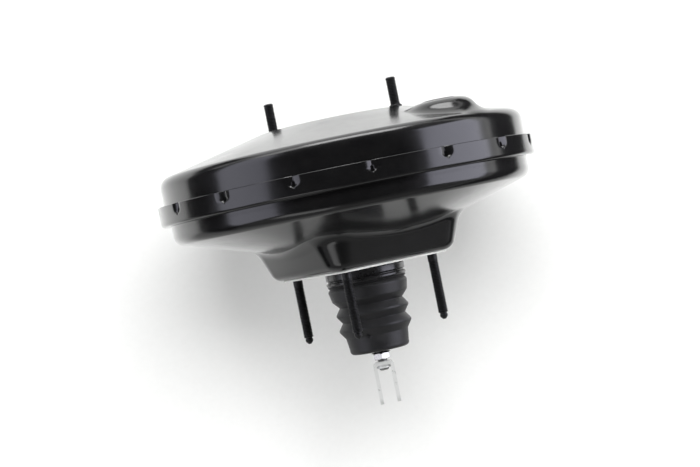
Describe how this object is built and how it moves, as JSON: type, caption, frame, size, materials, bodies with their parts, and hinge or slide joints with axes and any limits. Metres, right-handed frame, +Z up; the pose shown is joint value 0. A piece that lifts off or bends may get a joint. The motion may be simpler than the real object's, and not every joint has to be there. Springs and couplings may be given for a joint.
{
  "type": "brake booster",
  "caption": "Single-diaphragm vacuum brake booster: crimped black steel shells, engine-side and firewall studs, folded rubber boot, and a sliding push rod that ends in a forked clevis.",
  "frame": {"origin": "where the booster's axis meets the firewall face of its mounting gasket", "axes": "+Y along the axis, forward to the master cylinder; +Z up in the car; X along the pedal pin"},
  "size_m": [0.312, 0.2621, 0.312],
  "materials": {
    "black_paint": "gloss",
    "black_fastener": "satin",
    "white_gasket": "matte",
    "black_rubber": "matte",
    "plain_steel": "satin",
    "spring_steel": "satin",
    "moulded_plastic": "satin",
    "pale_plastic": "satin",
    "aluminium": "satin",
    "filter_foam": "matte",
    "bright_zinc": "bright"
  },
  "bodies": {
    "housing": {"front_shell": "black_paint", "rear_shell": "black_paint", "firewall_studs": "black_fastener", "rear_stud_plate": "plain_steel", "mounting_gasket": "white_gasket", "master_cylinder_studs": "black_fastener", "front_stud_plate": "plain_steel", "vacuum_grommet": "black_rubber", "front_seal": "black_rubber", "neck_bush": "pale_plastic", "neck_seal": "black_rubber", "stop_sleeve": "plain_steel", "diaphragm": "black_rubber", "return_spring": "spring_steel", "dust_boot": "black_rubber"},
    "power_piston": {"valve_body": "moulded_plastic", "diaphragm_plate": "plain_steel", "hub_cap": "plain_steel", "reaction_disc": "black_rubber", "output_rod": "plain_steel", "stop_key": "plain_steel", "poppet_valve": "black_rubber", "valve_retainer": "pale_plastic", "poppet_spring": "spring_steel", "rod_return_spring": "spring_steel", "air_filter": "filter_foam", "silencer": "filter_foam"},
    "plunger": {"valve_plunger": "aluminium"},
    "push_rod": {"input_rod": "bright_zinc", "spring_seat": "bright_zinc", "lock_nut": "bright_zinc", "clevis": "bright_zinc"}
  },
  "joints": [
    {"name": "piston_slide", "type": "slide", "parent": "housing", "child": "power_piston", "axis": [0, 1, 0], "range_m": [0, 0.036], "stiffness_N_per_m": 1500, "springref_m": -0.04, "deforming": ["return_spring", "dust_boot", "diaphragm"]},
    {"name": "valve_slide", "type": "slide", "parent": "power_piston", "child": "plunger", "axis": [0, 1, 0], "range_m": [0, 0.0015], "stiffness_N_per_m": 2000, "springref_m": -0.006, "deforming": ["rod_return_spring", "dust_boot"]},
    {"name": "rod_swivel", "type": "hinge", "parent": "plunger", "child": "push_rod", "pos_m": [0, 0.014, 0], "axis": [1, 0, 0], "range_deg": [-2, 2], "stiffness_Nm_per_rad": 20, "deforming": ["dust_boot", "rod_return_spring"]}
  ]
}
